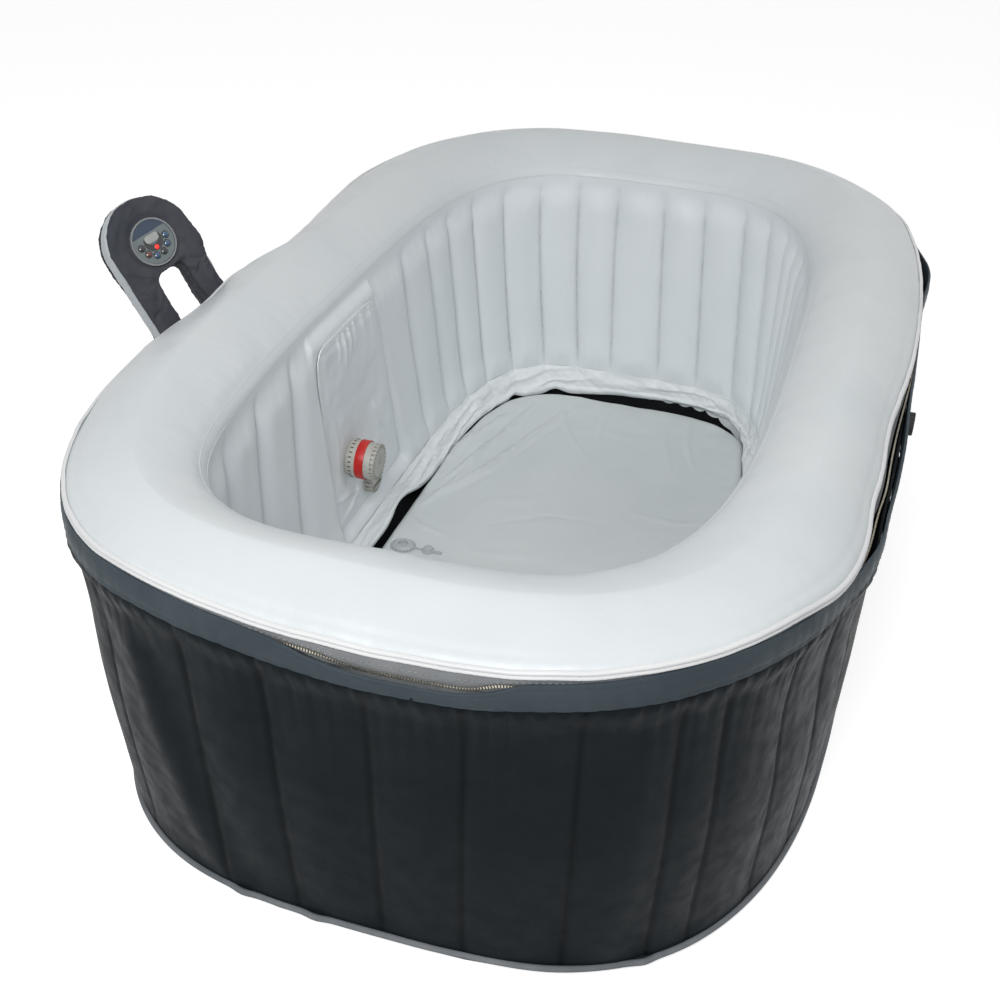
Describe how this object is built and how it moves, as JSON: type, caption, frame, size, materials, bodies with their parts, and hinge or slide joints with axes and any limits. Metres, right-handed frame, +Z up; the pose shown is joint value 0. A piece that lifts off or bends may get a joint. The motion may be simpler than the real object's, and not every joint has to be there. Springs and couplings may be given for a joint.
{
  "type": "inflatable hot tub",
  "caption": "Inflatable hot tub with a round top tube, channelled inner wall, zipped fabric jacket, floor mat, wall filter and an outside control arch.",
  "frame": {"origin": "middle of the jacket's flat base, on the floor", "axes": "+Z up; +Y along the tub's length, away from its near end; +X across, away from the control arch and filter side"},
  "size_m": [1.3377, 1.86, 0.6662],
  "materials": {
    "jacket": "dark charcoal padded fabric",
    "piping": "grey piping",
    "band": "slate fabric band",
    "tape": "light grey zip tape",
    "vinyl": "pale blue-white vinyl, soft sheen",
    "mat": "pale grey vinyl",
    "zip_metal": "pale brass",
    "clear": "clear soft plastic",
    "moulding": "warm grey moulded plastic",
    "red": "bright red band",
    "paper": "white pleated paper",
    "hose": "grey soft hose",
    "dark": "dark grey moulding",
    "motor": "grey painted",
    "pale": "off-white nylon",
    "steel": "brushed",
    "board": "green board",
    "pipe": "grey hose",
    "cover": "dark grey woven fabric",
    "side": "pale vinyl edge",
    "bezel": "light grey ring",
    "plate": "slate grey plate",
    "window": "pale display",
    "lens": "near-black lens",
    "button_blue": "blue",
    "button_dark": "dark grey",
    "button_red": "red-brown",
    "button_lit": "lit red"
  },
  "bodies": {
    "tub": {"jacket_base": "jacket", "jacket_wall": "jacket", "foot_piping": "piping", "zip_band": "band", "zip_tape": "tape", "rim_welt": "vinyl", "rim_tube": "vinyl", "channel_wall": "vinyl", "equipment_panel": "vinyl", "floor_sheet": "vinyl", "floor_skirt": "vinyl", "bubble_hose": "hose", "floor_pad": "mat", "mat_valve_patch": "mat", "mat_valve_body": "clear", "inlet_fitting": "moulding", "outlet_fitting": "moulding", "inlet_nut": "moulding", "outlet_nut": "moulding", "unit_shell_rear": "dark", "unit_shell_front": "dark", "pump_motor": "motor", "pump_volute": "dark", "pump_cover": "dark", "blower_case": "dark", "heater_tube": "steel", "circuit_board": "board", "suction_pipe": "pipe", "pump_pipe": "pipe", "return_pipe": "pipe", "arch_face": "cover", "arch_band": "side", "arch_back": "cover", "arch_bracket": "steel", "panel_bezel": "bezel", "panel_plate": "plate", "display_window": "window", "crescent_lens": "lens", "drain_valve": "dark", "air_valve": "dark"},
    "button_1": {"button_1": "button_blue"},
    "button_2": {"button_2": "button_blue"},
    "button_3": {"button_3": "button_dark"},
    "button_4": {"button_4": "button_blue"},
    "button_5": {"button_5": "button_red"},
    "button_6": {"button_6": "button_dark"},
    "button_centre": {"button_centre": "button_lit"},
    "zip_slider": {"zip_slider": "zip_metal"},
    "zip_pull": {"zip_pull": "zip_metal"},
    "filter": {"filter_shell": "moulding", "filter_band": "red", "filter_cartridge": "paper"},
    "filter_cap": {"filter_cap": "moulding"},
    "outlet_cap": {"outlet_cap": "moulding"},
    "mat_cap": {"mat_valve_cap": "clear"},
    "impeller": {"pump_impeller": "pale"},
    "fan": {"blower_fan": "pale"},
    "drain_cap": {"drain_cap": "dark"},
    "air_cap": {"air_valve_cap": "dark"}
  },
  "joints": [
    {"name": "button_1_press", "type": "slide", "parent": "tub", "child": "button_1", "axis": [-0.7033, 0.5373, -0.4655], "range_m": [0, 0.001], "stiffness_N_per_m": 300},
    {"name": "button_2_press", "type": "slide", "parent": "tub", "child": "button_2", "axis": [-0.7033, 0.5373, -0.4655], "range_m": [0, 0.001], "stiffness_N_per_m": 300},
    {"name": "button_3_press", "type": "slide", "parent": "tub", "child": "button_3", "axis": [-0.7033, 0.5373, -0.4655], "range_m": [0, 0.001], "stiffness_N_per_m": 300},
    {"name": "button_4_press", "type": "slide", "parent": "tub", "child": "button_4", "axis": [-0.7033, 0.5373, -0.4655], "range_m": [0, 0.001], "stiffness_N_per_m": 300},
    {"name": "button_5_press", "type": "slide", "parent": "tub", "child": "button_5", "axis": [-0.7033, 0.5373, -0.4655], "range_m": [0, 0.001], "stiffness_N_per_m": 300},
    {"name": "button_6_press", "type": "slide", "parent": "tub", "child": "button_6", "axis": [-0.7033, 0.5373, -0.4655], "range_m": [0, 0.001], "stiffness_N_per_m": 300},
    {"name": "button_centre_press", "type": "slide", "parent": "tub", "child": "button_centre", "axis": [-0.7033, 0.5373, -0.4655], "range_m": [0, 0.001], "stiffness_N_per_m": 300},
    {"name": "zip_slide", "type": "slide", "parent": "tub", "child": "zip_slider", "axis": [0, 1, 0], "range_m": [0, 0.2]},
    {"name": "zip_pull_swing", "type": "hinge", "parent": "zip_slider", "child": "zip_pull", "pos_m": [-0.5659, -0.045, 0.5287], "axis": [0, 1, 0], "range_deg": [0, 150]},
    {"name": "filter_pull", "type": "slide", "parent": "tub", "child": "filter", "axis": [1, 0, 0], "range_m": [0, 0.1]},
    {"name": "filter_cap_twist", "type": "hinge", "parent": "filter", "child": "filter_cap", "pos_m": [-0.3021, -0.037, 0.235], "axis": [1, 0, 0], "range_deg": [0, 45]},
    {"name": "outlet_cap_twist", "type": "hinge", "parent": "tub", "child": "outlet_cap", "pos_m": [-0.3454, 0.055, 0.148], "axis": [1, 0, 0], "range_deg": [-45, 45]},
    {"name": "mat_cap_fold", "type": "hinge", "parent": "tub", "child": "mat_cap", "pos_m": [-0.2375, 0, 0.05135], "axis": [0, 1, 0], "range_deg": [-180, 0]},
    {"name": "impeller_spin", "type": "hinge", "parent": "tub", "child": "impeller", "pos_m": [-0.4702, -0.105, 0.09], "axis": [1, 0, 0], "continuous": true},
    {"name": "fan_spin", "type": "hinge", "parent": "tub", "child": "fan", "pos_m": [-0.5155, 0.1, 0.085], "axis": [1, 0, 0], "continuous": true},
    {"name": "drain_cap_unscrew", "type": "hinge", "parent": "tub", "child": "drain_cap", "pos_m": [-0.06631, 0.86755, 0.06991], "axis": [-0.0172, 0.9522, -0.3051], "range_deg": [0, 360]},
    {"name": "air_cap_unscrew", "type": "hinge", "parent": "tub", "child": "air_cap", "pos_m": [0.5562, 0.07044, 0.43], "axis": [0.9999, 0.0025, 0.0122], "range_deg": [0, 360]}
  ]
}
